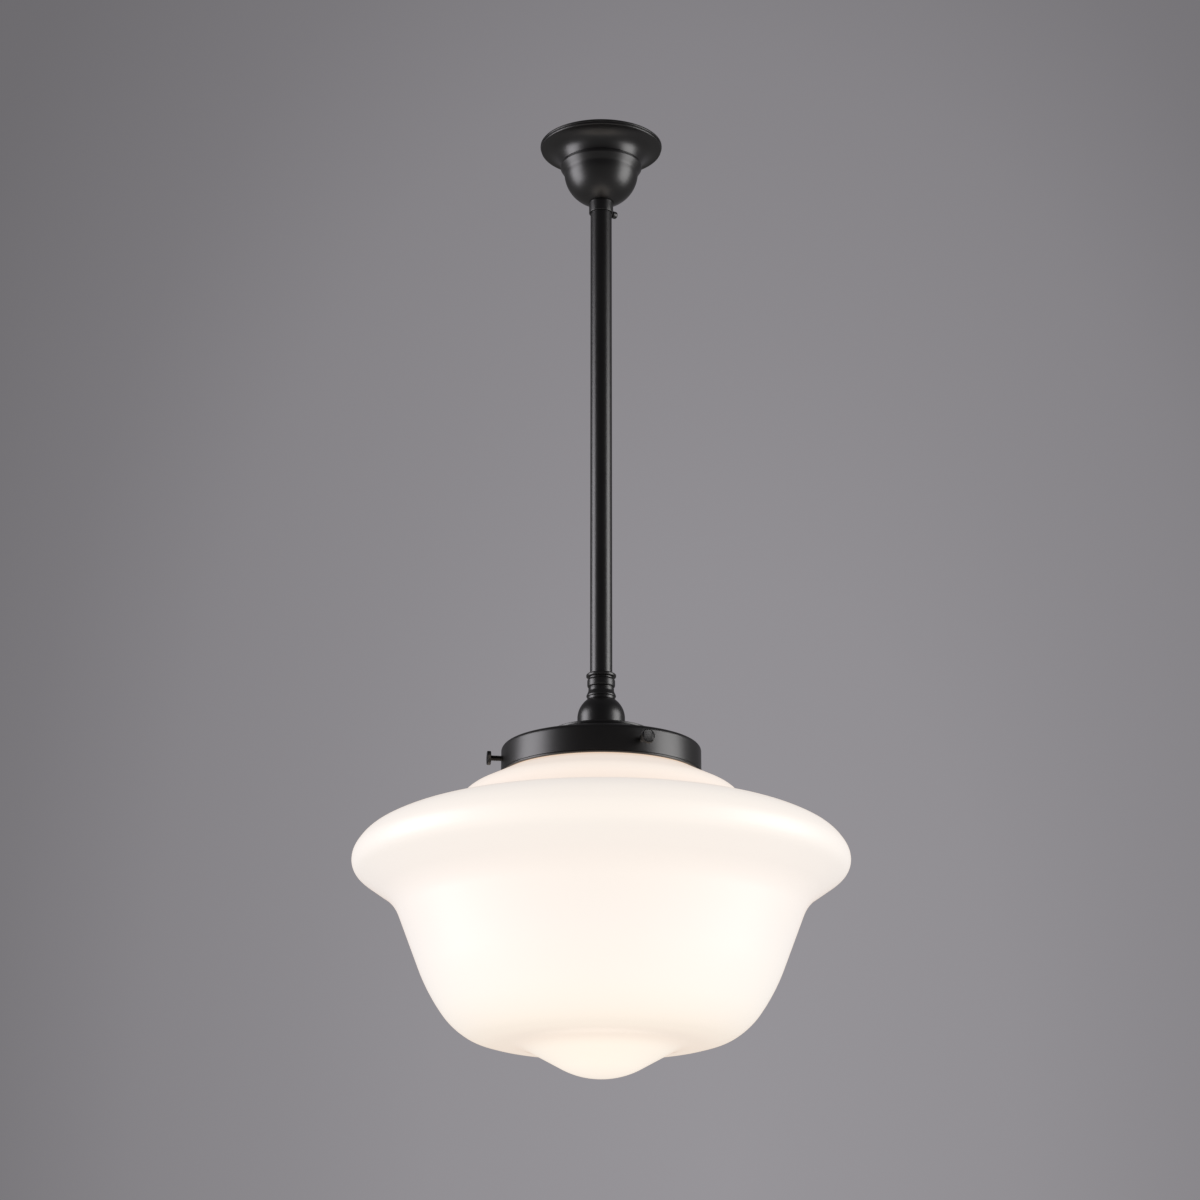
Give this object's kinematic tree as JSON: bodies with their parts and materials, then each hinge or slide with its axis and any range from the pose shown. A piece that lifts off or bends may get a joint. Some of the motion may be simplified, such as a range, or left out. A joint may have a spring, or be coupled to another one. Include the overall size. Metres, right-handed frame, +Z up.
{
  "type": "pendant light",
  "caption": "Schoolhouse pendant light: dark metal canopy, straight rod, turned collar, screw-held gallery and a stepped opal glass shade round a screw-in lamp.",
  "frame": {"origin": "centre of the ceiling plate's face on the ceiling, on the lamp's axis", "axes": "+Z up into the ceiling, the ceiling plate's slots lie along X, and -Y faces the room as in the picture"},
  "size_m": [0.3502, 0.35, 0.7063],
  "materials": {
    "satin_black": "satin black paint",
    "zinc_steel": "zinc plated",
    "green_screw": "green passivated",
    "brass": "plain",
    "nickel_shell": "bright",
    "terminal_plastic": "matt",
    "holder_plastic": "phenolic, half gloss",
    "ceramic": "glazed ceramic",
    "live_insulation": "satin",
    "neutral_insulation": "satin",
    "earth_insulation": "satin",
    "opal_glass": "opal, glossy",
    "lamp_white": "satin white",
    "lamp_diffuser": "frosted",
    "black_glass": "black glass",
    "solder": "solder"
  },
  "bodies": {
    "ceiling_mount": {"ceiling_plate": "zinc_steel", "earth_washer": "brass", "earth_screw": "green_screw"},
    "swivel": {"swivel_fork": "zinc_steel", "swivel_washer": "zinc_steel", "swivel_nut": "zinc_steel", "pivot_pin": "zinc_steel", "pin_clip": "zinc_steel"},
    "pendant": {"rod_head": "satin_black", "down_rod": "satin_black", "rod_bush": "zinc_steel", "terminal_block": "terminal_plastic", "terminal_screws": "zinc_steel", "rod_collar": "satin_black", "ball_cap": "satin_black", "crown_cap": "satin_black", "gallery": "satin_black", "threaded_nipple": "zinc_steel", "clamp_washer": "zinc_steel", "clamp_nut": "zinc_steel", "glass_shade": "opal_glass", "holder_cap": "satin_black", "holder_body": "holder_plastic", "holder_insert": "ceramic", "screw_shell": "nickel_shell", "centre_contact": "brass", "holder_terminals": "brass", "holder_screws": "zinc_steel", "earth_tag": "brass", "live_wire": "live_insulation", "earth_wire": "earth_insulation", "neutral_wire": "neutral_insulation"},
    "canopy": {"canopy_shell": "satin_black", "slip_ring": "satin_black"},
    "ring_screw": {"ring_screw_shank": "satin_black"},
    "ring_screw_knob": {"ring_screw_head": "satin_black"},
    "lamp_base": {"lamp_cap": "nickel_shell", "lamp_insulator": "black_glass", "lamp_tip": "solder"},
    "lamp_globe": {"lamp_body": "lamp_white", "lamp_diffuser": "lamp_diffuser"},
    "thumb_screw_1": {"thumb_screw_1_shank": "satin_black"},
    "thumb_knob_1": {"thumb_screw_1_head": "satin_black"},
    "thumb_screw_2": {"thumb_screw_2_shank": "satin_black"},
    "thumb_knob_2": {"thumb_screw_2_head": "satin_black"},
    "thumb_screw_3": {"thumb_screw_3_shank": "satin_black"},
    "thumb_knob_3": {"thumb_screw_3_head": "satin_black"}
  },
  "joints": [
    {"name": "swivel_turn", "type": "hinge", "parent": "ceiling_mount", "child": "swivel", "pos_m": [0, 0, -0.0081], "axis": [0, 0, 1], "range_deg": [-170, 170]},
    {"name": "rod_tilt", "type": "hinge", "parent": "swivel", "child": "pendant", "pos_m": [0, 0, -0.016], "axis": [1, 0, 0], "range_deg": [-3.5, 3.5]},
    {"name": "canopy_drop", "type": "slide", "parent": "pendant", "child": "canopy", "axis": [0, 0, -1], "range_m": [0, 0.06]},
    {"name": "ring_screw_advance", "type": "slide", "parent": "canopy", "child": "ring_screw", "axis": [0.8192, 0.5736, 0], "range_m": [0, 0.000675]},
    {"name": "ring_screw_turn", "type": "hinge", "parent": "ring_screw", "child": "ring_screw_knob", "pos_m": [0.00983, 0.00688, -0.05387], "axis": [0.8192, 0.5736, 0], "range_deg": [0, 542]},
    {"name": "lamp_advance", "type": "slide", "parent": "pendant", "child": "lamp_base", "axis": [0, 0, -1], "range_m": [0, 0.02535]},
    {"name": "lamp_turn", "type": "hinge", "parent": "lamp_base", "child": "lamp_globe", "pos_m": [0, 0, -0.57353], "axis": [0, 0, -1], "range_deg": [0, 2520]},
    {"name": "thumb_1_advance", "type": "slide", "parent": "pendant", "child": "thumb_screw_1", "axis": [0.3971, -0.9178, 0], "range_m": [0, 0.0042]},
    {"name": "thumb_1_turn", "type": "hinge", "parent": "thumb_screw_1", "child": "thumb_knob_1", "pos_m": [0.03193, -0.07379, -0.4825], "axis": [0.3971, -0.9178, 0], "range_deg": [0, 2162]},
    {"name": "thumb_2_advance", "type": "slide", "parent": "pendant", "child": "thumb_screw_2", "axis": [0.4818, 0.8763, 0], "range_m": [0, 0.0042]},
    {"name": "thumb_2_turn", "type": "hinge", "parent": "thumb_screw_2", "child": "thumb_knob_2", "pos_m": [0.03873, 0.07046, -0.4825], "axis": [0.4818, 0.8763, 0], "range_deg": [0, 2162]},
    {"name": "thumb_3_advance", "type": "slide", "parent": "pendant", "child": "thumb_screw_3", "axis": [-0.9877, -0.1564, 0], "range_m": [0, 0.0042]},
    {"name": "thumb_3_turn", "type": "hinge", "parent": "thumb_screw_3", "child": "thumb_knob_3", "pos_m": [-0.07941, -0.01258, -0.4825], "axis": [-0.9877, -0.1564, 0], "range_deg": [0, 2162]}
  ],
  "couplings": [
    {"joint": "ring_screw_turn", "follows": "ring_screw_advance", "rad_per_m": 13963},
    {"joint": "lamp_advance", "follows": "lamp_turn", "m_per_rad": 0.00057614},
    {"joint": "thumb_1_turn", "follows": "thumb_1_advance", "rad_per_m": 8976},
    {"joint": "thumb_2_turn", "follows": "thumb_2_advance", "rad_per_m": 8976},
    {"joint": "thumb_3_turn", "follows": "thumb_3_advance", "rad_per_m": 8976}
  ]
}
